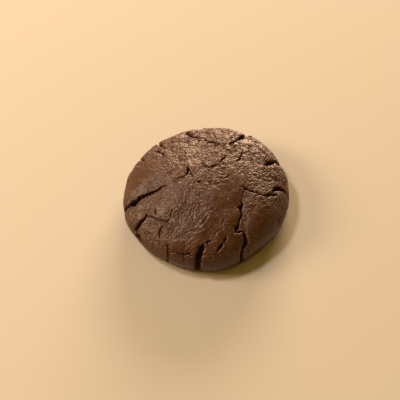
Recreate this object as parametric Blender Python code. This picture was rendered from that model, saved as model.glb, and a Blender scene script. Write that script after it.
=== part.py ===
"""A round chocolate cookie: one low domed solid whose crust has split into fissures round the rim.

The body starts as a cube that is subdivided and cast to a ball. Each point of the ball is carried
onto the cookie's own section, from the middle of the dome, over the bulging flank and round the foot
to the flat base. Soft swells and hollows shape the dome, and each fissure is sunk along its route.
A Decimate modifier then keeps faces where the relief needs them. Metres, +Z up, with the origin at
the middle of the base. -Y is the front.
"""

import math

import bmesh
import bpy
import numpy as np

MM = 0.001

# Driving dimensions
MEAN_RADIUS = 34.7 * MM
HEIGHT = 20.6 * MM
WAIST_HEIGHT = 7.4 * MM  # where the flank bulges furthest
FOOT_INSET = 3.4 * MM  # how far the flat base lies inside the waist
DOME_FULLNESS = 2.35  # exponent along the radius: higher is flatter on top
DOME_SHOULDER = 1.9  # exponent of the height: higher is squarer at the rim

# The outline in plan as waves on the mean radius: (lobes, size in mm, degrees to the first lobe)
OUTLINE_WAVES = (
    (2, 1.00, 31.0),
    (3, 0.28, 45.0),
    (4, 0.10, 6.0),
    (5, 0.19, -13.0),
    (8, 0.10, 17.5),
)

# Swells and hollows of the dome: (x, y, reach, rise), in mm
SWELLS = (
    (-9.0, 3.0, 12.0, 0.7),
    (-16.7, -13.9, 3.0, 0.6),
    (23.0, -14.0, 10.0, 0.9),
    (4.0, 27.0, 8.0, 0.8),
    (-14.0, 24.0, 7.0, 0.4),
    (22.0, 20.0, 8.0, 0.4),
    (-28.0, 6.0, 8.0, 0.4),
    (8.0, -29.0, 6.0, 0.6),
    (13.6, -13.0, 4.6, -1.3),
    (13.4, -20.0, 3.6, -0.9),
    (15.5, -5.5, 3.6, -0.7),
    (3.0, 21.0, 4.5, -0.5),
    (-24.0, -5.0, 4.0, -0.5),
    (-11.0, -24.0, 6.0, -0.4),
    (10.0, 8.0, 6.0, -0.3),
    (19.2, 28.9, 1.5, 0.9),
    (9.4, 31.0, 2.0, 0.7),
    (-0.7, 31.0, 1.2, 0.5),
)

# Fissures: the route of each from its mouth at the rim inwards, as (x, y, width), in mm.
# A route that starts past the rim also splits the flank.
FISSURES = {
    "front": (
        (-4.4, -37.0, 2.6),
        (-3.8, -33.7, 3.1),
        (-3.0, -31.4, 2.9),
        (-2.1, -29.4, 1.9),
        (-1.6, -28.3, 0.8),
    ),
    "front_right": (
        (13.8, -34.0, 0.9),
        (14.3, -30.2, 1.3),
        (14.8, -28.2, 1.4),
        (15.8, -26.4, 1.6),
        (15.8, -24.4, 1.6),
        (14.6, -22.4, 1.2),
        (13.0, -22.6, 0.9),
        (11.0, -23.2, 0.3),
    ),
    "inner_right": (
        (12.0, -22.0, 1.3),
        (12.5, -19.8, 1.4),
        (13.6, -17.1, 0.9),
        (14.2, -14.6, 0.8),
        (13.5, -12.4, 1.4),
        (14.2, -11.2, 1.2),
        (14.0, -9.4, 0.7),
        (14.8, -7.1, 0.6),
        (15.4, -5.2, 0.5),
        (15.6, -3.4, 0.3),
    ),
    "right_link": (
        (14.2, -2.7, 0.3),
        (16.2, -3.8, 0.8),
        (17.9, -4.8, 0.5),
        (19.4, -4.8, 0.5),
        (21.8, -5.8, 0.7),
        (23.6, -6.6, 0.4),
        (25.0, -5.8, 0.7),
        (26.6, -5.3, 1.1),
        (28.6, -4.6, 0.8),
        (29.4, -4.0, 0.3),
    ),
    "right": (
        (34.8, -2.8, 0.6),
        (33.3, -1.1, 1.5),
        (31.7, -0.4, 2.0),
        (30.3, -0.6, 2.3),
        (28.9, -1.6, 1.9),
        (28.0, -2.8, 1.0),
        (27.3, -4.2, 0.6),
    ),
    "upper_right": (
        (34.4, 15.4, 2.4),
        (31.2, 14.0, 2.2),
        (29.9, 14.0, 1.9),
        (28.7, 13.1, 1.2),
        (27.6, 12.5, 1.7),
        (26.6, 11.5, 1.8),
        (25.3, 10.0, 1.1),
        (24.2, 9.1, 0.4),
    ),
    "back_right": (
        (19.0, 33.0, 0.8),
        (17.6, 30.0, 2.0),
        (16.5, 27.6, 2.6),
        (15.4, 25.6, 2.5),
        (14.4, 23.7, 1.3),
        (12.1, 21.6, 0.9),
        (9.9, 19.6, 0.5),
    ),
    "back_left": (
        (-8.8, 31.2, 0.4),
        (-8.3, 28.8, 1.8),
        (-7.8, 27.2, 2.4),
        (-7.0, 26.0, 2.5),
        (-5.8, 24.6, 1.3),
        (-4.0, 23.7, 0.8),
        (-1.9, 23.1, 0.9),
        (-0.4, 21.8, 0.6),
        (0.8, 20.8, 0.7),
        (3.2, 20.3, 1.0),
        (5.2, 19.1, 0.9),
        (6.8, 17.7, 0.5),
    ),
    "left_back": (
        (-22.2, 27.4, 1.4),
        (-21.2, 24.6, 1.5),
        (-20.2, 22.2, 1.3),
        (-19.0, 20.4, 0.9),
        (-17.6, 17.8, 0.4),
    ),
    "left_nick": ((-22.2, 17.6, 0.5), (-21.0, 16.8, 1.0), (-19.2, 15.7, 1.1), (-18.6, 14.2, 0.5)),
    "far_left": ((-31.0, 19.0, 1.6), (-28.6, 16.4, 1.4), (-27.5, 14.4, 1.1), (-27.0, 12.6, 0.4)),
    "left": (
        (-37.0, -8.6, 2.4),
        (-33.6, -7.8, 2.5),
        (-30.8, -7.6, 2.7),
        (-28.0, -6.4, 2.4),
        (-24.5, -5.2, 1.6),
        (-20.8, -4.2, 1.0),
        (-19.0, -3.0, 0.8),
        (-16.2, -2.6, 0.3),
    ),
    "lower_left": (
        (-27.4, -24.4, 0.4),
        (-27.7, -22.2, 1.5),
        (-28.3, -20.8, 1.4),
        (-29.3, -19.4, 1.0),
        (-29.4, -18.4, 2.0),
        (-28.3, -17.4, 1.9),
        (-26.4, -16.3, 1.2),
        (-25.0, -15.2, 0.9),
        (-24.6, -13.8, 0.4),
    ),
    "front_left": ((-16.3, -32.2, 0.3), (-16.1, -30.4, 0.8), (-15.9, -28.5, 0.8), (-16.3, -26.8, 0.3)),
    "front_gash": (
        (3.9, -31.0, 0.3),
        (4.8, -29.8, 1.1),
        (5.9, -28.4, 1.0),
        (6.6, -27.6, 0.3),
        (7.1, -26.9, 0.8),
        (7.9, -25.8, 0.7),
        (8.6, -24.6, 0.3),
    ),
    "middle_fork": (
        (-8.4, 6.8, 0.3),
        (-8.2, 5.6, 0.7),
        (-7.8, 4.5, 1.0),
        (-8.5, 2.4, 0.6),
        (-10.1, 0.5, 0.3),
    ),
    "middle_lip": ((-1.6, 7.0, 0.3), (-0.8, 6.3, 0.6), (0.9, 5.4, 0.9), (3.7, 6.3, 0.5), (4.8, 6.9, 0.3)),
    "middle_cross": ((5.2, 8.0, 0.3), (6.2, 9.2, 0.7), (7.4, 10.7, 0.8), (8.7, 12.1, 0.4)),
}
DEPTH_PER_WIDTH = 1.6
MOST_DEPTH = 4.2 * MM
FLOOR_SHARE = 0.25  # of the half width that is the fissure's floor, before its walls rise
LIP_REACH = 0.9 * MM  # how far the crust rounds over beside a fissure
LIP_SINK = 0.16  # share of the depth that the rounded crust has sunk at the edge
JAG_SIZE = 2.2 * MM
JAG_REACH = 0.45 * MM
WHOLE_FOOT = 1.0 * MM  # the foot stays whole up to this height
FLANK_FADE = 4.0 * MM  # and the fissures reach their depth over this much more

# Mesh
CUBE_CUTS = 150
BASE_SHARE = 0.25  # share of faces, for its area, that the plain base gets
SECTION_STEPS = 400
TRIANGLES = 10400
SEED = 7
LATTICE = 32  # cells along each side of the noise, after which it repeats
NOISE_PEAK = 0.67

CRUST_COLOUR = (0.115, 0.052, 0.032, 1.0)
CRUST_ROUGHNESS = 0.62


def clear_scene():
    for obj in list(bpy.data.objects):
        bpy.data.objects.remove(obj)


def smooth_step(t):
    t = np.clip(t, 0.0, 1.0)
    return t * t * (3.0 - 2.0 * t)


def noise(points, size, seed):
    """Gradient noise from -1 to 1 at each point, on a lattice of cells of this size."""
    gradients = np.random.default_rng(seed).normal(size=(LATTICE, LATTICE, LATTICE, 3))
    gradients /= np.linalg.norm(gradients, axis=-1, keepdims=True)
    cell = np.floor(points / size).astype(int)
    inside = points / size - cell
    ease = inside**3 * (inside * (inside * 6.0 - 15.0) + 10.0)
    total = np.zeros(len(points))
    for corner in np.ndindex(2, 2, 2):
        corner = np.array(corner)
        at = (cell + corner) % LATTICE
        slope = gradients[at[:, 0], at[:, 1], at[:, 2]]
        weight = np.prod(np.where(corner, ease, 1.0 - ease), axis=1)
        total += weight * np.einsum("ij,ij->i", slope, inside - corner)
    return total / NOISE_PEAK


def outline(angle):
    """The plan radius of the waist at each angle."""
    radius = np.full_like(angle, MEAN_RADIUS)
    for lobes, size, first in OUTLINE_WAVES:
        radius += size * MM * np.cos(lobes * (angle - math.radians(first)))
    return radius


def section():
    """The turned section as shares of the plan radius, heights, insets and running area."""
    turn = np.linspace(0.0, math.pi / 2, SECTION_STEPS)
    dome_share = np.sin(turn) ** (2 / DOME_FULLNESS)
    dome_height = WAIST_HEIGHT + (HEIGHT - WAIST_HEIGHT) * np.cos(turn) ** (2 / DOME_SHOULDER)
    flank_inset = FOOT_INSET * (1 - np.cos(turn[1:]))
    flank_height = WAIST_HEIGHT * (1 - np.sin(turn[1:]))
    base_share = np.linspace(1.0, 0.0, SECTION_STEPS)[1:]
    share = np.concatenate([dome_share, np.ones_like(flank_inset), base_share])
    height = np.concatenate([dome_height, flank_height, np.zeros_like(base_share)])
    inset = np.concatenate([0 * turn, flank_inset, FOOT_INSET * base_share])
    radius = share * MEAN_RADIUS - inset
    strip = np.hypot(np.diff(radius), np.diff(height)) * (radius[1:] + radius[:-1]) / 2
    strip[-len(base_share) :] *= BASE_SHARE
    area = np.concatenate([[0.0], np.cumsum(strip)])
    return share, height, inset, area / area[-1]


def ball_points(mesh):
    """Directions of a cube cast to a ball, one for each vertex."""
    shape = bmesh.new()
    bmesh.ops.create_cube(shape, size=2.0)
    bmesh.ops.subdivide_edges(shape, edges=shape.edges[:], cuts=CUBE_CUTS, use_grid_fill=True)
    shape.to_mesh(mesh)
    shape.free()
    points = np.empty(len(mesh.vertices) * 3)
    mesh.vertices.foreach_get("co", points)
    points = np.tan(points.reshape(-1, 3) * math.pi / 4)  # evens out the faces on the ball
    return points / np.linalg.norm(points, axis=1, keepdims=True)


def body_points(ball):
    """The ball carried onto the cookie's section."""
    share, height, inset, area = section()
    run = (1.0 - ball[:, 2]) / 2.0
    angle = np.arctan2(ball[:, 1], ball[:, 0])
    step = np.linspace(0.0, 1.0, len(area))
    at = np.interp(run, area, step)
    radius = np.interp(at, step, share) * outline(angle) - np.interp(at, step, inset)
    z = np.interp(at, step, height)
    return np.stack([radius * np.cos(angle), radius * np.sin(angle), z], axis=1)


def surface_normals(mesh, points):
    mesh.vertices.foreach_set("co", points.ravel())
    mesh.update()
    normals = np.empty(len(mesh.vertices) * 3)
    mesh.vertices.foreach_get("normal", normals)
    return normals.reshape(-1, 3)


def swell_heights(points):
    rise = np.zeros(len(points))
    for x, y, reach, height in SWELLS:
        away = np.hypot(points[:, 0] - x * MM, points[:, 1] - y * MM) / (reach * MM)
        rise += height * MM * np.exp(-(away**2))
    return rise * smooth_step((points[:, 2] - WAIST_HEIGHT / 2) / WAIST_HEIGHT)


def groove_depth(plan, route):
    """How deep one fissure is at each plan point, walls and rounded lips included."""
    deepest = np.zeros(len(plan))
    for start, end in zip(route[:-1], route[1:]):
        a, b = np.array(start) * MM, np.array(end) * MM
        along = b[:2] - a[:2]
        t = np.clip((plan - a[:2]) @ along / (along @ along), 0.0, 1.0)
        away = np.linalg.norm(plan - a[:2] - t[:, None] * along, axis=1)
        half = (a[2] + (b[2] - a[2]) * t) / 2
        depth = np.minimum(2 * half * DEPTH_PER_WIDTH, MOST_DEPTH)
        wall = 1.0 - smooth_step((away / half - FLOOR_SHARE) / (1.0 - FLOOR_SHARE))
        lip = np.exp(-np.maximum(away - half, 0.0) / LIP_REACH)
        deepest = np.maximum(deepest, depth * (wall * (1.0 - LIP_SINK) + lip * LIP_SINK))
    return deepest


def fissure_depths(points):
    jag = np.stack([noise(points, JAG_SIZE, SEED + axis) for axis in range(2)], axis=1)
    plan = points[:, :2] + jag * JAG_REACH
    deepest = np.zeros(len(points))
    for route in FISSURES.values():
        deepest = np.maximum(deepest, groove_depth(plan, route))
    return deepest


def crust_material():
    material = bpy.data.materials.new("chocolate crust")
    material.use_nodes = True
    shader = material.node_tree.nodes["Principled BSDF"]
    shader.inputs["Base Color"].default_value = CRUST_COLOUR
    shader.inputs["Roughness"].default_value = CRUST_ROUGHNESS
    shader.inputs["Metallic"].default_value = 0.0
    return material


def make_cookie(collection):
    mesh = bpy.data.meshes.new("cookie")
    points = body_points(ball_points(mesh))
    points[:, 2] += swell_heights(points)
    normals = surface_normals(mesh, points)
    depth = fissure_depths(points) * smooth_step((points[:, 2] - WHOLE_FOOT) / FLANK_FADE)
    points -= normals * depth[:, None]
    points[:, 2] = np.maximum(points[:, 2], 0.0)
    middle = (points.max(axis=0) + points.min(axis=0)) / 2
    points[:, :2] -= middle[:2]
    mesh.vertices.foreach_set("co", points.ravel())
    mesh.update()
    mesh.shade_smooth()
    mesh.materials.append(crust_material())
    cookie = bpy.data.objects.new("cookie", mesh)
    collection.objects.link(cookie)
    thin_out = cookie.modifiers.new("thin out", "DECIMATE")
    thin_out.ratio = TRIANGLES / (2 * len(mesh.polygons))
    return cookie


def main():
    clear_scene()
    collection = bpy.data.collections.new("chocolate cookie")
    bpy.context.scene.collection.children.link(collection)
    make_cookie(collection)


main()
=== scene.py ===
"""The look of a chocolate cookie: a domed cocoa crust, split into fissures and finely crackled."""

import math

import bmesh
import bpy
import numpy as np
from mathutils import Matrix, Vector


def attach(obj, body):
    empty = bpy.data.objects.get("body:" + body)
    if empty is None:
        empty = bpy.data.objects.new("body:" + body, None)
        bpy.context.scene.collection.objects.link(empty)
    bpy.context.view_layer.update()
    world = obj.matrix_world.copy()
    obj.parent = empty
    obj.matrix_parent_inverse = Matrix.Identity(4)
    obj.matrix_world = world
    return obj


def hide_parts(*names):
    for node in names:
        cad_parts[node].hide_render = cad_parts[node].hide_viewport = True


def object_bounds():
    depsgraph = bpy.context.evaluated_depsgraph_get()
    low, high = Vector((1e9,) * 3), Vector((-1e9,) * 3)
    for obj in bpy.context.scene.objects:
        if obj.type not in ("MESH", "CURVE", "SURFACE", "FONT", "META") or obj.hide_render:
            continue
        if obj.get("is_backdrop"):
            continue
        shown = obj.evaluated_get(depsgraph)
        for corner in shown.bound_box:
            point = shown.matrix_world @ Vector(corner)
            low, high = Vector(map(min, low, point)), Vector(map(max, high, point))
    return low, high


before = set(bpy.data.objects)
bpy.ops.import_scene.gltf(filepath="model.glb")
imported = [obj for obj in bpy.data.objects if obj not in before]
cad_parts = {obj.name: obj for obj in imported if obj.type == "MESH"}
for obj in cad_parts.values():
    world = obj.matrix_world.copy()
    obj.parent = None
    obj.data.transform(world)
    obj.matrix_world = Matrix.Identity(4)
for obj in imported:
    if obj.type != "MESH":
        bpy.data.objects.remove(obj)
CAD_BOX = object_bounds()

bl_info = {
    "name": "Chocolate Cookie",
    "version": (1, 0, 0),
    "blender": (4, 5, 0),
    "location": "View3D > Sidebar > Cookie",
    "description": "Models a crackled chocolate cookie and sets its stage",
    "category": "Add Mesh",
}

MM = 0.001

# The outline in plan as waves on the mean radius: (lobes, size in mm, degrees to the first lobe)
OUTLINE_WAVES = (
    (2, 1.00, 31.0),
    (3, 0.28, 45.0),
    (4, 0.10, 6.0),
    (5, 0.19, -13.0),
    (8, 0.10, 17.5),
)

# Swells and hollows of the dome: (x, y, reach, rise), in mm
SWELLS = (
    (-9.0, 3.0, 12.0, 0.7),
    (-16.7, -13.9, 3.0, 0.6),
    (23.0, -14.0, 10.0, 0.9),
    (4.0, 27.0, 8.0, 0.8),
    (-14.0, 24.0, 7.0, 0.4),
    (22.0, 20.0, 8.0, 0.4),
    (-28.0, 6.0, 8.0, 0.4),
    (8.0, -29.0, 6.0, 0.6),
    (13.6, -13.0, 4.6, -1.3),
    (13.4, -20.0, 3.6, -0.9),
    (15.5, -5.5, 3.6, -0.7),
    (3.0, 21.0, 4.5, -0.5),
    (-24.0, -5.0, 4.0, -0.5),
    (-11.0, -24.0, 6.0, -0.4),
    (5.0, 10.5, 5.5, 0.7),
    (11.0, -8.0, 5.5, -0.6),
    (5.0, -22.5, 4.5, -0.4),
    (0.0, -4.0, 8.0, 0.5),
    (19.2, 28.9, 1.5, 0.9),
    (9.4, 31.0, 2.0, 0.7),
    (-0.7, 31.0, 1.2, 0.5),
)

# Deep fissures: the route of each from its mouth at the rim inwards, as (x, y, width), in mm
FISSURES = {
    "front": (
        (-4.4, -37.0, 2.6),
        (-3.8, -33.7, 3.1),
        (-3.0, -31.4, 2.9),
        (-2.1, -29.4, 1.9),
        (-1.6, -28.3, 0.8),
    ),
    "front_right": (
        (13.8, -34.0, 0.9),
        (14.3, -30.2, 1.3),
        (14.8, -28.2, 1.4),
        (15.8, -26.4, 1.6),
        (15.8, -24.4, 1.6),
        (14.6, -22.4, 1.2),
        (13.0, -22.6, 0.9),
        (11.0, -23.2, 0.3),
    ),
    "inner_right": (
        (12.0, -22.0, 1.3),
        (12.5, -19.8, 1.4),
        (13.6, -17.1, 0.9),
        (14.2, -14.6, 0.8),
        (13.5, -12.4, 1.2),
        (14.2, -11.2, 1.0),
        (14.0, -9.4, 0.5),
        (14.8, -7.1, 0.3),
        (15.4, -5.2, 0.4),
        (15.6, -3.4, 0.3),
    ),
    "right_link": (
        (14.2, -2.7, 0.5),
        (16.2, -3.8, 1.1),
        (17.9, -4.8, 0.8),
        (19.4, -4.8, 0.8),
        (21.8, -5.8, 1.0),
        (23.6, -6.6, 0.7),
        (25.0, -5.8, 1.0),
        (26.6, -5.3, 1.3),
        (28.6, -4.6, 1.0),
        (29.4, -4.0, 0.4),
    ),
    "right": (
        (34.8, -2.8, 0.6),
        (33.3, -1.1, 1.9),
        (31.7, -0.4, 2.5),
        (30.3, -0.6, 2.7),
        (28.9, -1.6, 2.3),
        (28.0, -2.8, 1.2),
        (27.3, -4.2, 0.6),
    ),
    "upper_right": (
        (34.4, 15.4, 2.4),
        (31.2, 14.0, 2.5),
        (29.9, 14.0, 2.2),
        (28.7, 13.1, 1.4),
        (27.6, 12.5, 2.0),
        (26.6, 11.5, 2.2),
        (25.3, 10.0, 1.3),
        (24.2, 9.1, 0.4),
    ),
    "back_right": (
        (19.0, 33.0, 0.8),
        (17.6, 30.0, 2.0),
        (16.5, 27.6, 2.6),
        (15.4, 25.6, 2.5),
        (14.4, 23.7, 1.6),
        (12.1, 21.6, 1.2),
        (9.9, 19.6, 0.8),
    ),
    "back_left": (
        (-8.8, 31.2, 0.4),
        (-8.3, 28.8, 1.8),
        (-7.8, 27.2, 2.4),
        (-7.0, 26.0, 2.5),
        (-5.8, 24.6, 1.3),
        (-4.0, 23.7, 1.1),
        (-1.9, 23.1, 1.0),
        (-0.4, 21.8, 0.9),
        (0.8, 20.8, 1.1),
        (3.2, 20.3, 1.3),
        (5.2, 19.1, 1.2),
        (6.8, 17.7, 0.7),
    ),
    "left_back": (
        (-22.2, 27.4, 1.6),
        (-21.2, 24.6, 1.9),
        (-20.2, 22.2, 1.8),
        (-19.0, 20.4, 1.2),
        (-17.6, 17.8, 0.5),
    ),
    "left_nick": ((-22.2, 17.6, 0.7), (-21.0, 16.8, 1.4), (-19.2, 15.7, 1.5), (-18.6, 14.2, 0.7)),
    "far_left": ((-31.0, 19.0, 1.6), (-28.6, 16.4, 1.4), (-27.5, 14.4, 1.1), (-27.0, 12.6, 0.4)),
    "left": (
        (-37.0, -8.6, 2.4),
        (-33.6, -7.8, 2.5),
        (-30.8, -7.6, 2.7),
        (-28.0, -6.4, 2.4),
        (-24.5, -5.2, 1.6),
        (-20.8, -4.2, 1.0),
        (-19.0, -3.0, 0.8),
        (-16.2, -2.6, 0.3),
    ),
    "lower_left": (
        (-27.4, -24.4, 0.4),
        (-27.7, -22.2, 1.5),
        (-28.3, -20.8, 1.4),
        (-29.3, -19.4, 1.0),
        (-29.4, -18.4, 2.0),
        (-28.3, -17.4, 1.9),
        (-26.4, -16.3, 1.2),
        (-25.0, -15.2, 0.9),
        (-24.6, -13.8, 0.4),
    ),
    "front_left": ((-16.3, -32.2, 0.3), (-16.1, -30.4, 0.8), (-15.9, -28.5, 0.8), (-16.3, -26.8, 0.3)),
    "front_gash": (
        (3.9, -31.0, 0.3),
        (4.8, -29.8, 1.2),
        (5.7, -28.6, 1.3),
        (6.4, -27.7, 0.2),
        (7.0, -27.0, 0.9),
        (7.8, -25.9, 0.8),
        (8.4, -24.8, 0.2),
    ),
    "middle_fork": (
        (-8.4, 6.8, 0.3),
        (-8.2, 5.6, 0.7),
        (-7.8, 4.5, 1.0),
        (-8.5, 2.4, 0.6),
        (-10.1, 0.5, 0.3),
    ),
    "middle_lip": ((-1.6, 7.0, 0.3), (-0.8, 6.3, 0.6), (0.9, 5.4, 0.8), (3.7, 6.3, 0.6), (4.8, 6.9, 0.3)),
    "middle_cross": ((5.2, 8.0, 0.4), (6.2, 9.2, 0.8), (7.4, 10.7, 0.8), (8.7, 12.1, 0.4)),
}
DEPTH_PER_WIDTH = 2.0  # until a fissure is as deep as it may sink
FISSURE_SWING = 0.35  # share by which its width wanders
FISSURE_REACH = 6.0 * MM  # how far from its route it acts
FLOOR_SHARE = 0.45  # of the half width that is the fissure's floor, before its walls rise
LIP_REACH = 0.6 * MM  # how far the crust rounds over beside a fissure
LIP_SINK = 0.08  # share of the depth that the rounded crust has sunk at the edge
WHOLE_FOOT = 1.0 * MM  # the foot stays whole up to this height
FLANK_FADE = 4.0 * MM  # and the fissures reach their depth over this much more
RIM_LIFT = 1.0 * MM  # the crust turns most sharply this far above the waist
RIM_REACH = 4.0 * MM
RIM_SHALLOWER = 0.35  # share of depth that a fissure loses there, so that its walls stay apart
DARK_FROM = 0.25 * MM  # painted shade starts in a fissure at this depth
DARK_OVER = 0.70 * MM  # and is darkest this much deeper
CRUMB_FROM = 0.5 * MM  # the crumb shows in its walls from this depth
CRUMB_OVER = 1.0 * MM  # and fully this much deeper
CRUMB_NOISES = ((0.90, 0.16, 41), (0.45, 0.07, 42))  # (grain size in mm, height in mm, seed)

# Hairline cracks of the crust: (x, y, width), in mm
HAIRLINES = (
    ((-24.9, -14.4, 0.6), (-24.0, -15.1, 0.5), (-21.8, -16.0, 0.5), (-19.7, -17.5, 0.4), (-17.7, -18.0, 0.6)),
    ((-17.7, -18.0, 0.6), (-16.0, -18.5, 0.4), (-14.9, -16.9, 0.4), (-14.3, -14.6, 0.3)),
    ((-21.4, -12.2, 0.3), (-21.2, -13.4, 0.7), (-21.3, -14.8, 0.4)),
    ((-18.2, -20.0, 0.4), (-19.3, -21.9, 0.8), (-19.4, -23.7, 0.5)),
    ((-14.6, -29.8, 0.3), (-11.9, -30.1, 0.4), (-9.8, -31.1, 0.7), (-7.1, -31.1, 0.6), (-6.2, -30.4, 0.3)),
    ((-9.5, -31.4, 0.4), (-9.3, -33.0, 0.3)),
    ((-1.2, -28.0, 0.3), (0.2, -27.4, 0.7), (1.6, -26.8, 0.4)),
    ((13.6, -12.2, 0.9), (12.4, -12.2, 0.8), (11.0, -11.5, 0.3)),
    ((-0.2, 27.8, 0.3), (0.1, 24.1, 0.4)),
    ((2.6, 26.9, 0.3), (3.5, 24.2, 0.5), (4.1, 22.1, 0.4)),
    ((-9.5, 14.9, 0.4), (-8.9, 13.1, 0.6)),
    ((-11.3, 10.4, 0.5), (-9.4, 9.4, 0.4)),
    ((-7.4, 4.4, 0.4), (-6.6, 2.6, 0.6), (-5.7, 0.2, 0.4)),
    ((6.3, 8.4, 0.5), (7.4, 7.3, 0.8), (8.8, 6.5, 0.4)),
    ((8.9, 16.0, 0.4), (10.5, 13.5, 0.5)),
    ((15.4, 16.2, 0.4), (14.7, 13.2, 0.6), (13.8, 10.8, 0.9), (12.2, 9.0, 0.5)),
    ((20.6, 21.2, 0.4), (22.9, 18.8, 0.7), (25.6, 16.6, 0.5)),
    ((9.7, 2.3, 0.4), (8.4, 1.1, 0.6), (7.3, 0.2, 0.5)),
    ((1.9, -0.2, 0.4), (1.1, -4.8, 0.3)),
    ((2.6, -2.1, 0.3), (4.8, -4.8, 0.5)),
    ((-4.0, -2.3, 0.5), (-2.5, -1.4, 0.5)),
)
HAIRLINE_SLOPE = 1.25  # half widths over which its walls rise
HAIRLINE_DEPTH = 3.2  # half widths that it is deep
HAIRLINE_SWING = 0.5  # share by which its width wanders
HAIRLINE_REACH = 2.0 * MM
HAIRLINE_TINT = 0.5 * MM  # the depth at which its painted shade is darkest

# Soft folds of the crust below the middle and at the right: (x, y, width), in mm
FOLDS = (
    ((-8.8, -23.4, 0.5), (-5.0, -22.9, 0.9), (-2.7, -22.5, 1.0), (-0.6, -21.9, 0.9), (1.6, -20.9, 0.4)),
    ((-3.6, -22.0, 0.4), (-1.0, -19.1, 0.9), (1.1, -16.0, 0.5)),
    ((-3.2, -17.6, 0.4), (-0.6, -16.0, 0.8), (2.4, -14.2, 0.7), (4.4, -12.4, 0.3)),
    ((-15.0, -26.1, 0.4), (-11.5, -25.3, 0.8), (-8.5, -26.1, 0.4)),
    ((-6.4, -27.6, 0.4), (-9.1, -29.1, 0.7), (-12.3, -29.9, 0.4)),
    ((2.2, -26.5, 0.4), (3.8, -23.8, 0.8), (6.7, -21.3, 0.4)),
    ((-6.4, -12.6, 0.4), (-3.4, -12.0, 0.8), (-0.4, -10.8, 0.7), (2.0, -10.2, 0.3)),
    ((19.6, 4.6, 0.4), (22.6, 4.2, 0.8), (26.0, 3.0, 0.7), (28.6, 2.6, 0.3)),
    ((18.8, 1.8, 0.4), (22.0, 1.8, 0.7), (25.2, 0.6, 0.7), (27.0, 0.4, 0.3)),
)
FOLD_STRENGTH = 0.6
FOLD_SWING = 0.6  # how much that wanders
FOLD_REACH = 3.0 * MM
FOLD_TINT = 0.9 * MM  # the depth at which its painted shade is darkest
CREASE_DEPTH = 0.45  # of the half width, along the middle of a fold
CREASE_WIDTH = 0.8  # of the half width
SHOULDER_RISE = 0.40  # of the half width, along both its sides
SHOULDER_WIDTH = 1.3  # of the half width
SHOULDER_PLACE = 2.2  # half widths from the middle

# Where the crust has less grain and crackle, and so less dust and painted sheen: (x, y, reach in mm, share
# taken away)
SMOOTH_PATCHES = (
    (7.5, -9.5, 7.0, 0.85),
    (11.0, -17.0, 4.5, 0.85),
    (23.5, -20.5, 7.5, 0.80),
    (8.5, -26.0, 7.0, 0.85),
    (-2.0, -22.0, 8.0, 0.65),
    (-23.0, 6.0, 6.5, 0.60),
    (-12.0, 7.0, 3.5, 0.60),
    (-13.0, -30.0, 6.0, 0.75),
    (-30.0, 1.0, 5.0, 0.75),
    (-16.7, -13.9, 3.6, 0.70),
    (-10.5, -8.0, 2.6, 0.45),
    (10.5, 0.5, 4.5, 0.65),
)
SMOOTH_FLANK = 0.7  # share of the grain that the flank lacks
FLANK_HEIGHT = 6.0 * MM  # up to here, and less over as much again

# Where the crests of its grain are dry and pale and carry painted sheen: (x, y, reach in mm, share added)
DUST_AND_SHEEN_PATCHES = (
    (3.0, 15.5, 7.5, 1.00),
    (4.0, 27.0, 7.0, 0.65),
    (-14.5, -13.5, 7.5, 0.70),
    (-20.0, -21.0, 7.0, 0.40),
    (-16.0, 18.0, 7.0, 0.50),
    (22.0, 15.0, 8.0, 0.35),
)
DUST_AND_SHEEN_EVERYWHERE = 0.20
BROAD_DUST_AND_SHEEN = 0.25  # how much that wanders from place to place
FINE_DUST_AND_SHEEN = 0.40
DUST_AND_SHEEN_WHERE_SMOOTH = 0.35  # share of the dust and painted sheen that smooth crust keeps

# The fine crackle, broad flakes first: (flake size in mm, line width in mm, share of depth, seed)
CRACKLES = ((4.2, 0.22, 0.95, 71), (2.1, 0.17, 0.70, 73))
CRACKLE_IN_FRONT = 0.35  # share of the crackle's strength that the front half has
CRACKLE_REACH = 2.0 * MM  # how far from a deep fissure it stays strong
CRACKLE_TINT = 0.24 * MM  # the depth at which its painted shade is darkest
BACK_FROM = -2.0 * MM  # the back half starts at this y
BACK_OVER = 12.0 * MM  # and has all its crackle this much further back

# The snail-like swirl of the crust: its middle, the gap between its turns and its reach, in mm
SWIRL = (-16.7, -13.9)
SWIRL_TURN = 1.35
SWIRL_REACH = 3.6
SWIRL_DEPTH = 0.36 * MM
SWIRL_UNEVEN = 0.35  # share of the depth that changes round the swirl
SWIRL_OPEN = math.radians(-50.0)  # the way it is deepest, so that it opens to the far side

# The wrinkled grain: size in mm and seed of its furrows, pebbles and finest grain
FURROW = (1.70, 84)
PEBBLE = (1.10, 87)
FINE_GRAIN = (0.85, 86)
PEBBLE_GAP = 0.28 * MM
# Shares of the wrinkle depth that each of them has
FURROW_SHARE = 0.22
GAP_SHARE = 0.45
FINE_SHARE = 0.40
WRINKLED_WHERE_SMOOTH = 0.10  # share of the wrinkles that smooth crust keeps
WRINKLE_TINT = 0.8 * MM  # the depth at which its painted shade is darkest

# Low swells over the whole crust, in mm: broad ones, small ones, and more of these where it is rough
BROAD_SWELL = 0.30
SMALL_SWELL = 0.06
ROUGH_SWELL = 0.18
# the depth at which the painted shade in their low places is darkest
SWELL_TINT = 9.0 * MM

# Noises that vary the relief from place to place: (size in mm, seed)
NOISES = {
    "fissure width": (1.7, 37),
    "hairline width": (1.1, 99),
    "fold depth": (2.0, 98),
    "broad dust": (9.0, 57),
    "fine dust": (3.6, 58),
    "wrinkle strength": (4.5, 83),
    "broad swell": (7.0, 88),
    "small swell": (3.2, 89),
    "base pits": (1.6, 45),
    "broad base pits": (4.5, 46),
}
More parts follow.
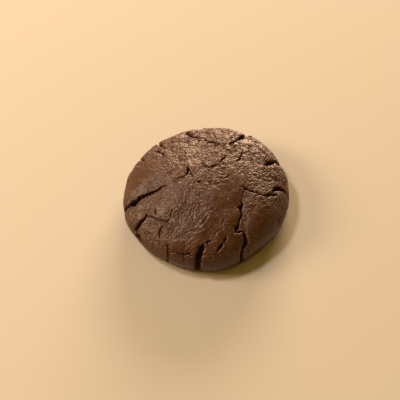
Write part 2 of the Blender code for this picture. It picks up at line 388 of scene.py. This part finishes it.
# Noises that push a pattern about, so that its lines run unevenly: (size in mm, reach in mm, seed)
PUSHES = {
    "fissures": ((2.2, 0.45, 7), (1.0, 0.30, 17), (0.5, 0.12, 27)),
    "hairlines": ((1.3, 0.30, 91), (0.6, 0.14, 94)),
    "folds": ((2.4, 0.40, 95),),
    "smooth patches": ((6.0, 2.0, 51),),
    "dusty patches": ((5.0, 2.0, 54),),
    "crackle": ((2.6, 0.80, 61), (0.8, 0.22, 64)),
    "wrinkles": ((2.4, 0.80, 81),),
}

# The base's air pits: depth in mm, and the noise at which they start and over which they deepen
PITS = (0.35, 0.35, 0.35)
BROAD_PITS = (0.18, 0.25, 0.50)
PIT_MARGIN = 1.5 * MM  # they start this far inside the foot
PIT_TINT = 0.625 * MM  # the depth at which a pit's painted shade is darkest

CUBE_CUTS = (99, 2)  # of each edge of the cube, in two rounds
BASE_SHARE = 0.25  # share of faces, for its area, that the base gets
SECTION_STEPS = 400
LATTICE = 32  # cells along each side of the noise, after which it repeats
NOISE_PEAK = 0.67  # near the largest value of gradient noise
RELIEF_FADE = 2.0 * MM  # the fine relief fades in over this height above the base
FOLD_ANGLE = math.radians(90.0)  # faces that meet more sharply than this are folded over
RELAX_ROUNDS = 8
RELAX_SHARE = 0.5  # of the way to the middle of the neighbours, each round

CRUST_ROUGHNESS = 0.35
DUSTY_ROUGHNESS = 0.13  # more of it where the crust is dry
HOLLOW_ROUGHNESS = 0.60  # and in cracks and fissures
CRUST_IOR = 1.5
GRAIN_SIZE = 0.72 * MM
GRAIN_DETAIL = 1.5
GRAIN_HEIGHT = 0.10 * MM
GRAIN_WHERE_SMOOTH = 0.2  # share of that height on smooth crust
GRAIN_RANGE = (0.30, 0.66)  # values of the grain over which dust and painted sheen gather on it
DUST_OFF_GRAIN = 0.40  # share of the dust and painted sheen that lies below them

FLOOR_SIZE = 4.0
# Soft lights: (name, direction from the cookie, distance in m, size in m, power in W, colour)
LIGHTS = (
    ("back panel", (0.2, 1.0, 0.26), 1.2, (0.7, 0.3), 35.5, (1.0, 0.72, 0.47)),
    ("side window", (-1.0, 0.05, 0.60), 1.1, (0.4, 0.4), 11.5, (1.0, 0.70, 0.42)),
    ("key", (-0.46, 0.17, 0.89), 1.0, (0.16, 0.16), 5.1, (1.0, 0.83, 0.72)),
)
ROOM_COLOUR = (1.0, 0.61, 0.12)
ROOM_LIGHT = 0.36
CAMERA_AIM = Vector((-2.75 * MM, -1.92 * MM, 7.55 * MM))
CAMERA_ELEVATION = math.radians(58.0)
CAMERA_DISTANCE = 0.40
CAMERA_LENS = 85.0
CAMERA_SENSOR = 36.0


class CookieSizes(bpy.types.PropertyGroup):
    mean_radius: bpy.props.FloatProperty(
        name="Mean radius",
        description="Radius of the cookie in plan, before its outline waves",
        default=34.7 * MM,
        unit="LENGTH",
    )
    height: bpy.props.FloatProperty(
        name="Height",
        description="Height of the dome, before its swells",
        default=20.6 * MM,
        unit="LENGTH",
    )
    waist_height: bpy.props.FloatProperty(
        name="Waist height",
        description="Height at which the flank bulges furthest",
        default=7.4 * MM,
        unit="LENGTH",
    )
    foot_inset: bpy.props.FloatProperty(
        name="Foot inset",
        description="How far the flat base lies inside the waist",
        default=3.4 * MM,
        unit="LENGTH",
    )
    dome_fullness: bpy.props.FloatProperty(
        name="Dome fullness",
        description="Exponent along the radius: higher is flatter on top",
        default=2.35,
    )
    dome_shoulder: bpy.props.FloatProperty(
        name="Dome shoulder",
        description="Exponent of the height: higher is squarer at the rim",
        default=1.9,
    )
    fissure_depth: bpy.props.FloatProperty(
        name="Fissure depth",
        description="The most that a fissure sinks into the crust",
        default=4.2 * MM,
        unit="LENGTH",
    )
    crackle_depth: bpy.props.FloatProperty(
        name="Crackle depth",
        description="Depth of the fine crackle between crust flakes",
        default=0.46 * MM,
        unit="LENGTH",
    )
    wrinkle_depth: bpy.props.FloatProperty(
        name="Wrinkle depth",
        description="Depth of the wrinkled grain of the crust",
        default=0.40 * MM,
        unit="LENGTH",
    )
    triangles: bpy.props.IntProperty(
        name="Triangles",
        description="Triangles that the finished crust keeps",
        default=194000,
    )


class CookieColours(bpy.types.PropertyGroup):
    crust: bpy.props.FloatVectorProperty(
        name="Crust",
        description="Baked cocoa crust",
        subtype="COLOR",
        size=3,
        default=(0.066, 0.0176, 0.0032),
    )
    # Painted shade in the furrows and gaps between the crests of the grain
    furrow: bpy.props.FloatVectorProperty(
        name="Furrows",
        description="Darker crust between the crests of the grain",
        subtype="COLOR",
        size=3,
        default=(0.035, 0.0082, 0.0009),
    )
    # Dry pale crests, partly a painted sheen
    dust_and_sheen: bpy.props.FloatVectorProperty(
        name="Dusty crests",
        description="Dry, paler crests of the flakes",
        subtype="COLOR",
        size=3,
        default=(0.182, 0.125, 0.093),
    )
    # Partly the dark moist crumb, partly painted shade: mixed in wherever the surface sinks, in fissures,
    # cracks, folds, grain and pits
    crumb: bpy.props.FloatVectorProperty(
        name="Crumb",
        description="Dark moist crumb inside the fissures",
        subtype="COLOR",
        size=3,
        default=(0.034, 0.0050, 0.0006),
    )
    floor: bpy.props.FloatVectorProperty(
        name="Floor",
        description="Pale plain floor",
        subtype="COLOR",
        size=3,
        default=(0.45, 0.43, 0.395),
    )


class CookieScene(bpy.types.PropertyGroup):
    sizes: bpy.props.PointerProperty(type=CookieSizes)
    colours: bpy.props.PointerProperty(type=CookieColours)


def smooth_step(t):
    t = np.clip(t, 0.0, 1.0)
    return t * t * (3.0 - 2.0 * t)


def lattice_cells(points, size):
    """The lattice cell of each point and its place inside the cell, as three columns of each."""
    scaled = (points / size).astype(np.float32)
    cell = np.floor(scaled)
    return cell.astype(np.int32).T.copy(), (scaled - cell).T.copy()


def lattice_index(cell, step):
    """The row of the lattice table for the cell that lies this many steps away."""
    x, y, z = ((cell[axis] + step[axis]) % LATTICE for axis in range(3))
    return (x * LATTICE + y) * LATTICE + z


def noise(points, size, seed):
    """Gradient noise from -1 to 1 at each point, on a lattice of cells of this size."""
    gradients = np.random.default_rng(seed).normal(size=(LATTICE**3, 3))
    gradients /= np.linalg.norm(gradients, axis=1, keepdims=True)
    gradients = gradients.T.astype(np.float32)
    cell, inside = lattice_cells(points, size)
    ease = inside**3 * (inside * (inside * 6.0 - 15.0) + 10.0)
    total = np.zeros(len(points), np.float32)
    for corner in np.ndindex(2, 2, 2):
        at = lattice_index(cell, corner)
        share = sum(gradients[axis][at] * (inside[axis] - corner[axis]) for axis in range(3))
        for axis in range(3):
            share *= ease[axis] if corner[axis] else 1.0 - ease[axis]
        total += share
    return total / NOISE_PEAK


def pushed(points, name):
    """The points, pushed about by the noises of this name."""
    moved = points.copy()
    for size, reach, seed in PUSHES[name]:
        push = [noise(points, size * MM, seed + axis) for axis in range(3)]
        moved += np.stack(push, axis=1) * (reach * MM)
    return moved


def cell_edges(points, size, seed):
    """Distance from each point to the nearest edge between the cells of a random crackle."""
    scattered = np.random.default_rng(seed).random(size=(LATTICE**3, 3)).T.astype(np.float32)
    cell, inside = lattice_cells(points, size)
    nearest = np.full(len(points), np.inf, np.float32)
    second = nearest.copy()
    for step in np.ndindex(3, 3, 3):
        step = np.array(step) - 1
        at = lattice_index(cell, step)
        away = sum((scattered[axis][at] + step[axis] - inside[axis]) ** 2 for axis in range(3))
        second = np.minimum(second, np.maximum(away, nearest))
        nearest = np.minimum(nearest, away)
    return (np.sqrt(second) - np.sqrt(nearest)) * size / 2


def outline(angle, mean_radius):
    """The plan radius of the waist at each angle."""
    radius = np.full_like(angle, mean_radius)
    for lobes, size, first in OUTLINE_WAVES:
        radius += size * MM * np.cos(lobes * (angle - math.radians(first)))
    return radius


def section(sizes):
    """The turned section as shares of the plan radius, heights, insets and running area."""
    turn = np.linspace(0.0, math.pi / 2, SECTION_STEPS)
    rise = sizes.height - sizes.waist_height
    dome_share = np.sin(turn) ** (2 / sizes.dome_fullness)
    dome_height = sizes.waist_height + rise * np.cos(turn) ** (2 / sizes.dome_shoulder)
    flank_inset = sizes.foot_inset * (1 - np.cos(turn[1:]))
    flank_height = sizes.waist_height * (1 - np.sin(turn[1:]))
    base_share = np.linspace(1.0, 0.0, SECTION_STEPS)[1:]
    share = np.concatenate([dome_share, np.ones_like(flank_inset), base_share])
    height = np.concatenate([dome_height, flank_height, np.zeros_like(base_share)])
    inset = np.concatenate([0 * turn, flank_inset, sizes.foot_inset * base_share])
    radius = share * sizes.mean_radius - inset
    strip = np.hypot(np.diff(radius), np.diff(height)) * (radius[1:] + radius[:-1]) / 2
    strip[-len(base_share) :] *= BASE_SHARE
    area = np.concatenate([[0.0], np.cumsum(strip)])
    return share, height, inset, area / area[-1]


def body_points(ball, sizes):
    """The ball carried onto the cookie's section, with the distance run in from the foot."""
    share, height, inset, area = section(sizes)
    run = (1.0 - ball[:, 2]) / 2.0
    angle = np.arctan2(ball[:, 1], ball[:, 0])
    step = np.linspace(0.0, 1.0, len(area))
    at = np.interp(run, area, step)
    waist = outline(angle, sizes.mean_radius)
    radius = np.interp(at, step, share) * waist - np.interp(at, step, inset)
    z = np.interp(at, step, height)
    points = np.stack([radius * np.cos(angle), radius * np.sin(angle), z], axis=1)
    return points, np.where(z > 0.0, 0.0, waist - sizes.foot_inset - radius)


def from_middle(points, x, y, reach):
    """How far each point lies from a place in plan, in shares of a reach."""
    return np.hypot(points[:, 0] - x * MM, points[:, 1] - y * MM) / (reach * MM)


def swell_heights(points, waist_height):
    rise = np.zeros(len(points))
    for x, y, reach, height in SWELLS:
        rise += height * MM * np.exp(-(from_middle(points, x, y, reach) ** 2))
    return rise * smooth_step((points[:, 2] - waist_height / 2) / waist_height)


def from_route(plan, route, reach):
    """For the plan points within reach of a route: their indices, distances and half widths."""
    knots = np.array(route) * MM
    low = knots[:, :2].min(axis=0) - reach
    high = knots[:, :2].max(axis=0) + reach
    near = np.flatnonzero(np.all((plan > low) & (plan < high), axis=1))
    distance = np.full(len(near), np.inf)
    half = np.full(len(near), knots[0, 2] / 2)
    for a, b in zip(knots[:-1], knots[1:]):
        along = b[:2] - a[:2]
        t = np.clip((plan[near] - a[:2]) @ along / (along @ along), 0.0, 1.0)
        away = np.linalg.norm(plan[near] - a[:2] - t[:, None] * along, axis=1)
        closer = away < distance
        distance[closer] = away[closer]
        half[closer] = ((a[2] + (b[2] - a[2]) * t) / 2)[closer]
    return near, distance, half


class Crust:
    """The dense mesh of the crust while its relief is worked in."""

    def __init__(self, mesh, sizes):
        self.mesh = mesh
        self.sizes = sizes
        ball = self.read("co")
        ball = np.tan(ball * math.pi / 4)  # evens out the faces on the ball
        ball /= np.linalg.norm(ball, axis=1, keepdims=True)
        self.points, self.inside_foot = body_points(ball, sizes)
        self.points[:, 2] += swell_heights(self.points, sizes.waist_height)
        self.write()
        self.smooth_points = self.points.copy()
        self.smooth_normals = self.read("normal")
        self.painted_hollow_shade = np.zeros(len(self.points))
        self.crest = np.zeros(len(self.points))
        self.rough = self.find_rough()
        self.dust_and_sheen = self.find_dust_and_sheen()

    def read(self, field):
        values = np.empty(len(self.mesh.vertices) * 3)
        self.mesh.vertices.foreach_get(field, values)
        return values.reshape(-1, 3)

    def write(self):
        self.mesh.vertices.foreach_set("co", self.points.ravel())
        self.mesh.update()

    def keep(self, name, values):
        """Stores a value for each vertex, which the material reads by this name."""
        attribute = self.mesh.attributes.new(name, "FLOAT", "POINT")
        attribute.data.foreach_set("value", values.astype(np.float32))

    def noise(self, name):
        """The noise of this name over the crust, from -1 to 1."""
        size, seed = NOISES[name]
        return noise(self.smooth_points, size * MM, seed)

    def top(self):
        """1 on the dome, 0 on the base."""
        return smooth_step(self.smooth_points[:, 2] / RELIEF_FADE)

    def less_where_smooth(self, share):
        """This share where the crust is smooth, 1 where it is rough."""
        return share + (1.0 - share) * self.rough

    def find_rough(self):
        """1 where the crust is grainy and wrinkled, 0 where it is smooth."""
        where = pushed(self.smooth_points, "smooth patches")
        smooth = np.zeros(len(where))
        for x, y, reach, share in SMOOTH_PATCHES:
            smooth = np.maximum(smooth, share * np.exp(-(from_middle(where, x, y, reach) ** 4)))
        flank = smooth_step(1.0 - (self.smooth_points[:, 2] - FLANK_HEIGHT) / FLANK_HEIGHT)
        return (1.0 - smooth) * (1.0 - SMOOTH_FLANK * flank)

    def find_dust_and_sheen(self):
        """0 where the crust is moist and dark, 1 where its crests are dry and pale and carry painted sheen.
        """
        where = pushed(self.smooth_points, "dusty patches")
        dust_and_sheen = DUST_AND_SHEEN_EVERYWHERE + BROAD_DUST_AND_SHEEN * self.noise("broad dust")
        dust_and_sheen += FINE_DUST_AND_SHEEN * self.noise("fine dust")
        for x, y, reach, share in DUST_AND_SHEEN_PATCHES:
            dust_and_sheen += share * np.exp(-(from_middle(where, x, y, reach) ** 2))
        return np.clip(dust_and_sheen, 0.0, 1.0) * self.less_where_smooth(DUST_AND_SHEEN_WHERE_SMOOTH)

    def sink_fissures(self):
        """Sinks the deep fissures, each with ragged walls and a broken floor."""
        sizes = self.sizes
        height = self.smooth_points[:, 2]
        plan = pushed(self.smooth_points, "fissures")[:, :2]
        swing = 1.0 + FISSURE_SWING * self.noise("fissure width")
        deepest = np.zeros(len(plan))
        near_any = np.zeros(len(plan))
        for route in FISSURES.values():
            near, away, half = from_route(plan, route, FISSURE_REACH)
            half = half * swing[near]
            depth = np.minimum(2 * half * DEPTH_PER_WIDTH, sizes.fissure_depth)
            wall = 1.0 - smooth_step((away / half - FLOOR_SHARE) / (1.0 - FLOOR_SHARE))
            lip = np.exp(-np.maximum(away - half, 0.0) / LIP_REACH)
            depth *= wall * (1.0 - LIP_SINK) + lip * LIP_SINK
            deepest[near] = np.maximum(deepest[near], depth)
            beside = np.exp(-away / CRACKLE_REACH) * np.minimum(half / MM, 1.0)
            near_any[near] = np.maximum(near_any[near], beside)
        deepest *= smooth_step((height - WHOLE_FOOT) / FLANK_FADE)
        from_rim = (height - sizes.waist_height - RIM_LIFT) / RIM_REACH
        deepest *= 1.0 - RIM_SHALLOWER * np.exp(-(from_rim**2))
        self.points -= self.smooth_normals * deepest[:, None]
        self.points[:, 2] = np.maximum(self.points[:, 2], 0.0)
        self.painted_hollow_shade = np.maximum(self.painted_hollow_shade, smooth_step((deepest - DARK_FROM) / DARK_OVER))
        self.fissure = deepest
        self.by_fissure = near_any

    def centre(self):
        """Puts the middle of the body's box over the origin, as the frame has it."""
        middle = (self.points.max(axis=0) + self.points.min(axis=0)) / 2
        self.shift = np.array([middle[0], middle[1], 0.0])
        self.points -= self.shift

    def lower(self, depth, tint):
        """Sinks the surface by a depth at each point and paints shade into the sunken places, darkest from
        the depth called tint on.
        """
        depth = depth * self.top()
        self.points -= self.smooth_normals * depth[:, None]
        self.points[:, 2] = np.maximum(self.points[:, 2], 0.0)
        self.painted_hollow_shade = np.maximum(self.painted_hollow_shade, np.clip(depth / tint, 0.0, 1.0))

    def cut_hairlines(self):
        """Thin broken cracks, finer than the deep fissures."""
        plan = pushed(self.smooth_points, "hairlines")[:, :2]
        swing = 1.0 + HAIRLINE_SWING * self.noise("hairline width")
        depth = np.zeros(len(plan))
        for route in HAIRLINES:
            near, away, half = from_route(plan, route, HAIRLINE_REACH)
            half = half * swing[near]
            wall = 1.0 - smooth_step(away / (half * HAIRLINE_SLOPE))
            depth[near] = np.maximum(depth[near], half * HAIRLINE_DEPTH * wall)
        self.lower(depth, HAIRLINE_TINT)

    def press_folds(self):
        """Soft folds with raised shoulders, and the swirl."""
        plan = pushed(self.smooth_points, "folds")[:, :2]
        swing = FOLD_STRENGTH + FOLD_SWING * self.noise("fold depth")
        depth = np.zeros(len(plan))
        for route in FOLDS:
            near, away, half = from_route(plan, route, FOLD_REACH)
            crease = np.exp(-((away / (half * CREASE_WIDTH)) ** 2))
            shoulder = np.exp(-(((away - SHOULDER_PLACE * half) / (half * SHOULDER_WIDTH)) ** 2))
            depth[near] += half * swing[near] * (CREASE_DEPTH * crease - SHOULDER_RISE * shoulder)
        x, y = plan[:, 0] / MM - SWIRL[0], plan[:, 1] / MM - SWIRL[1]
        away = np.hypot(x, y)
        angle = np.arctan2(y, x)
        turns = 0.5 + 0.5 * np.cos(2 * math.pi * away / SWIRL_TURN + angle)
        turns *= 1.0 - SWIRL_UNEVEN + SWIRL_UNEVEN * np.cos(angle - SWIRL_OPEN)
        depth += SWIRL_DEPTH * (0.1 + swing) * turns**2 * np.exp(-((away / SWIRL_REACH) ** 4))
        self.lower(depth, FOLD_TINT)

    def crackle(self):
        """Fine cracks between flakes, strongest over the back half and near the deep fissures."""
        where = self.smooth_points
        bent = pushed(where, "crackle")
        back = smooth_step((where[:, 1] - BACK_FROM) / BACK_OVER)
        flaky = CRACKLE_IN_FRONT + (1.0 - CRACKLE_IN_FRONT) * back
        flaky = np.maximum(flaky, self.by_fissure) * self.rough
        for size, line_width, share, seed in CRACKLES:
            patchy = smooth_step(noise(where, 2.0 * size * MM, seed) * 1.5 + 0.35)
            edge = cell_edges(bent, size * MM, seed + 1)
            line = 1.0 - smooth_step(edge / (line_width * MM))
            self.lower(line * patchy * flaky * self.sizes.crackle_depth * share, CRACKLE_TINT)

    def wrinkle(self):
        """The pebbled, wrinkled grain of the dried crust."""
        bent = pushed(self.smooth_points, "wrinkles")
        furrow = (1.0 - np.abs(noise(bent, FURROW[0] * MM, FURROW[1]))) ** 4
        gap = 1.0 - smooth_step(cell_edges(bent, PEBBLE[0] * MM, PEBBLE[1]) / PEBBLE_GAP)
        grain = noise(self.smooth_points, FINE_GRAIN[0] * MM, FINE_GRAIN[1])
        depth = FURROW_SHARE * furrow + GAP_SHARE * gap + FINE_SHARE * grain
        patch = smooth_step(0.5 + 0.9 * self.noise("wrinkle strength"))
        strength = self.less_where_smooth(WRINKLED_WHERE_SMOOTH) * (0.5 + 0.6 * patch + 0.4 * self.dust_and_sheen)
        # Crests keep the crust colour; the furrows and gaps between them get painted shade
        self.crest = smooth_step(1.05 - 0.7 * furrow - 0.6 * gap + 0.35 * grain)
        self.lower(depth * strength * self.sizes.wrinkle_depth, WRINKLE_TINT)

    def undulate(self):
        """Low uneven swells, stronger where the crust is rough, with faint painted shade in their low places.
        """
        swell = BROAD_SWELL * self.noise("broad swell")
        swell += (SMALL_SWELL + ROUGH_SWELL * self.rough) * self.noise("small swell")
        self.lower(swell * MM, SWELL_TINT)

    def break_crumb(self):
        """Roughens the walls and floors of the fissures."""
        self.write()
        normals = self.read("normal")
        inside = smooth_step((self.fissure - CRUMB_FROM) / CRUMB_OVER)
        crumb = sum(noise(self.points, size * MM, seed) * height for size, height, seed in CRUMB_NOISES)
        self.points += normals * (crumb * inside * MM)[:, None]
        self.points[:, 2] = np.maximum(self.points[:, 2], 0.0)

    def pit_base(self):
        """Small air pits over the flat base, with painted shade in them."""
        depth = np.zeros(len(self.points))
        for name, (deepest, start, over) in (("base pits", PITS), ("broad base pits", BROAD_PITS)):
            depth += deepest * smooth_step((self.noise(name) - start) / over)
        depth *= smooth_step(self.inside_foot / PIT_MARGIN) * MM
        self.points[:, 2] += depth
        self.painted_hollow_shade = np.maximum(self.painted_hollow_shade, depth / PIT_TINT)


def deselect():
    for obj in bpy.context.selected_objects:
        obj.select_set(False)


def relax_folds(mesh):
    """Evens out the small places where the surface folds over itself or forms needles."""
    work = bmesh.new()
    work.from_mesh(mesh)
    bmesh.ops.triangulate(work, faces=work.faces)
    axes = {"use_axis_x": True, "use_axis_y": True, "use_axis_z": True}
    for _ in range(RELAX_ROUNDS):
        work.normal_update()
        folded = set()
        for edge in work.edges:
            if edge.calc_face_angle() > FOLD_ANGLE:
                folded.update(vert.index for face in edge.link_faces for vert in face.verts)
        beside = [vert for vert in work.verts if vert.index in folded]
        bmesh.ops.smooth_vert(work, verts=beside, factor=RELAX_SHARE, **axes)
    work.to_mesh(mesh)
    work.free()


def shaped_crust(sizes):
    deselect()
    bpy.ops.mesh.primitive_cube_add(size=2.0)
    cookie = bpy.context.object
    cookie.name = cookie.data.name = "cookie_crust"
    bpy.ops.object.mode_set(mode="EDIT")
    bpy.ops.mesh.select_all(action="SELECT")
    for cuts in CUBE_CUTS:
        bpy.ops.mesh.subdivide(number_cuts=cuts)
    bpy.ops.object.mode_set(mode="OBJECT")
    crust = Crust(cookie.data, sizes)
    crust.sink_fissures()
    crust.centre()
    crust.wrinkle()
    crust.undulate()
    crust.press_folds()
    crust.crackle()
    crust.cut_hairlines()
    crust.break_crumb()
    crust.pit_base()
    crust.write()
    for name in ("painted_hollow_shade", "crest", "rough", "dust_and_sheen"):
        crust.keep(name, getattr(crust, name))
    thin_out = cookie.modifiers.new("thin out", "DECIMATE")
    thin_out.show_viewport = False  # it is worked out once, when it is applied
    thin_out.ratio = sizes.triangles / (2 * len(cookie.data.polygons))
    bpy.ops.object.modifier_apply(modifier=thin_out.name)
    relax_folds(cookie.data)
    bpy.ops.object.shade_smooth()
    return cookie


class Value:
    """A socket that carries one number, so that shader maths can be written as an expression."""

    def __init__(self, shader, socket):
        self.shader = shader
        self.socket = socket

    def maths(self, operation, first, second):
        settings = {"operation": operation}
        return self.shader.node("ShaderNodeMath", settings, {0: first, 1: second})

    def __add__(self, other):
        return self.maths("ADD", self, other)

    def __mul__(self, other):
        return self.maths("MULTIPLY", self, other)

    __radd__ = __add__
    __rmul__ = __mul__


class Shader:
    """A Principled material and the nodes that feed it."""

    def __init__(self, name):
        self.material = bpy.data.materials.new(name)
        self.material.use_nodes = True
        self.tree = self.material.node_tree
        self.surface = self.tree.nodes["Principled BSDF"]
        coordinates = self.tree.nodes.new("ShaderNodeTexCoord")
        self.place = Value(self, coordinates.outputs["Object"])

    def feed(self, socket, value):
        if isinstance(value, Value):
            self.tree.links.new(value.socket, socket)
        else:
            socket.default_value = value

    def node(self, kind, settings=None, inputs=None, output=0):
        """Adds a node: its settings are set first, and then the values or links of its sockets."""
        node = self.tree.nodes.new(kind)
        for name, value in (settings or {}).items():
            setattr(node, name, value)
        for key, value in (inputs or {}).items():
            self.feed(node.inputs[key], value)
        return Value(self, node.outputs[output])

    def noise(self, size, detail):
        inputs = {"Vector": self.place, "Scale": 1.0 / size, "Detail": detail}
        return self.node("ShaderNodeTexNoise", inputs=inputs)

    def ramp(self, value, low, high):
        """0 below low, 1 above high."""
        inputs = {"Value": value, "From Min": low, "From Max": high}
        return self.node("ShaderNodeMapRange", {"interpolation_type": "SMOOTHSTEP"}, inputs)

    def attribute(self, name):
        return self.node("ShaderNodeAttribute", {"attribute_name": name}, output=2)

    def mix(self, factor, first, second):
        settings = {"data_type": "RGBA"}
        return self.node("ShaderNodeMix", settings, {0: factor, 6: first, 7: second}, output=2)

    def bump(self, height, distance):
        return self.node("ShaderNodeBump", inputs={"Height": height, "Distance": distance})

    def set(self, **inputs):
        for name, value in inputs.items():
            self.feed(self.surface.inputs[name.replace("_", " ")], value)


def rgba(colour):
    return (*colour, 1.0)


def less_below(share, value):
    """This share where the value is 0, and 1 where the value is 1."""
    return share + (1.0 - share) * value


def crust_material(colours):
    shader = Shader("cocoa crust")
    painted_hollow_shade = shader.attribute("painted_hollow_shade")
    crest = shader.attribute("crest")
    rough = shader.attribute("rough")
    dust_and_sheen = shader.attribute("dust_and_sheen")
    # Painted shade in the furrows of the grain, where the crest mask is low
    colour = shader.mix(crest, rgba(colours.furrow), rgba(colours.crust))
    grain = shader.noise(GRAIN_SIZE, GRAIN_DETAIL)
    # Dust and painted sheen on the crests of the grain
    dust_and_sheen_cover = crest * dust_and_sheen * less_below(DUST_OFF_GRAIN, shader.ramp(grain, *GRAIN_RANGE))
    colour = shader.mix(dust_and_sheen_cover, colour, rgba(colours.dust_and_sheen))
    # Painted shade in every sunken place, by depth, in the crumb colour
    colour = shader.mix(painted_hollow_shade, colour, rgba(colours.crumb))
    shader.set(
        Base_Color=colour,
        Roughness=CRUST_ROUGHNESS + DUSTY_ROUGHNESS * dust_and_sheen + HOLLOW_ROUGHNESS * painted_hollow_shade,
        Normal=shader.bump(grain * less_below(GRAIN_WHERE_SMOOTH, rough), GRAIN_HEIGHT),
        IOR=CRUST_IOR,
    )
    return shader.material


def floor_material(colours):
    shader = Shader("floor")
    shader.set(Base_Color=rgba(colours.floor), Roughness=1.0)
    return shader.material


class COOKIE_OT_crust(bpy.types.Operator):
    """Model the cookie's crust"""

    bl_idname = "cookie.crust"
    bl_label = "Cookie crust"

    def execute(self, context):
        props = context.scene.cookie
        cookie = shaped_crust(props.sizes)
        cookie.data.materials.append(crust_material(props.colours))
        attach(cookie, "root")
        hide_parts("cookie")
        return {"FINISHED"}


def add_area_light(name, direction, distance, size, power, colour):
    """A soft light that faces the cookie from a direction."""
    towards = Vector(direction).normalized()
    bpy.ops.object.light_add(type="AREA", location=towards * distance)
    light = bpy.context.object
    light.name = name
    light.rotation_euler = towards.to_track_quat("Z", "Y").to_euler()
    light.data.shape = "RECTANGLE"
    light.data.size, light.data.size_y = size
    light.data.energy = power
    light.data.color = colour


class COOKIE_OT_stage(bpy.types.Operator):
    """Add the floor, the lights and the camera"""

    bl_idname = "cookie.stage"
    bl_label = "Stage"

    def execute(self, context):
        deselect()
        bpy.ops.mesh.primitive_plane_add(size=FLOOR_SIZE)
        floor = context.object
        floor.name = "floor"
        floor.data.materials.append(floor_material(context.scene.cookie.colours))
        floor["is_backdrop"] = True
        for light in LIGHTS:
            add_area_light(*light)
        world = bpy.data.worlds.new("studio")
        world.use_nodes = True
        background = world.node_tree.nodes["Background"]
        background.inputs["Color"].default_value = rgba(ROOM_COLOUR)
        background.inputs["Strength"].default_value = ROOM_LIGHT
        context.scene.world = world
        context.scene.view_settings.view_transform = "Standard"
        self.add_camera(context)
        return {"FINISHED"}

    def add_camera(self, context):
        towards = Vector((0.0, -math.cos(CAMERA_ELEVATION), math.sin(CAMERA_ELEVATION)))
        bpy.ops.object.camera_add(location=CAMERA_AIM + towards * CAMERA_DISTANCE)
        camera = context.object
        camera.rotation_euler = (math.pi / 2 - CAMERA_ELEVATION, 0.0, 0.0)
        camera.data.lens = CAMERA_LENS
        camera.data.sensor_width = CAMERA_SENSOR
        context.scene.camera = camera


class COOKIE_PT_panel(bpy.types.Panel):
    bl_label = "Chocolate Cookie"
    bl_idname = "COOKIE_PT_panel"
    bl_space_type = "VIEW_3D"
    bl_region_type = "UI"
    bl_category = "Cookie"

    def draw(self, context):
        props = context.scene.cookie
        for group in (props.sizes, props.colours):
            box = self.layout.box()
            for name in group.__annotations__:
                box.prop(group, name)
        self.layout.operator(COOKIE_OT_crust.bl_idname)
        self.layout.operator(COOKIE_OT_stage.bl_idname)


CLASSES = (
    CookieSizes,
    CookieColours,
    CookieScene,
    COOKIE_OT_crust,
    COOKIE_OT_stage,
    COOKIE_PT_panel,
)


def register():
    for cls in CLASSES:
        bpy.utils.register_class(cls)
    bpy.types.Scene.cookie = bpy.props.PointerProperty(type=CookieScene)


def unregister():
    del bpy.types.Scene.cookie
    for cls in reversed(CLASSES):
        bpy.utils.unregister_class(cls)


def main():
    register()
    bpy.ops.cookie.crust()
    bpy.ops.cookie.stage()
    boxes = {"cad": CAD_BOX, "visual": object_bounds()}
    boxes = {name: [list(corner) for corner in box] for name, box in boxes.items()}


if __name__ == "__main__":
    main()
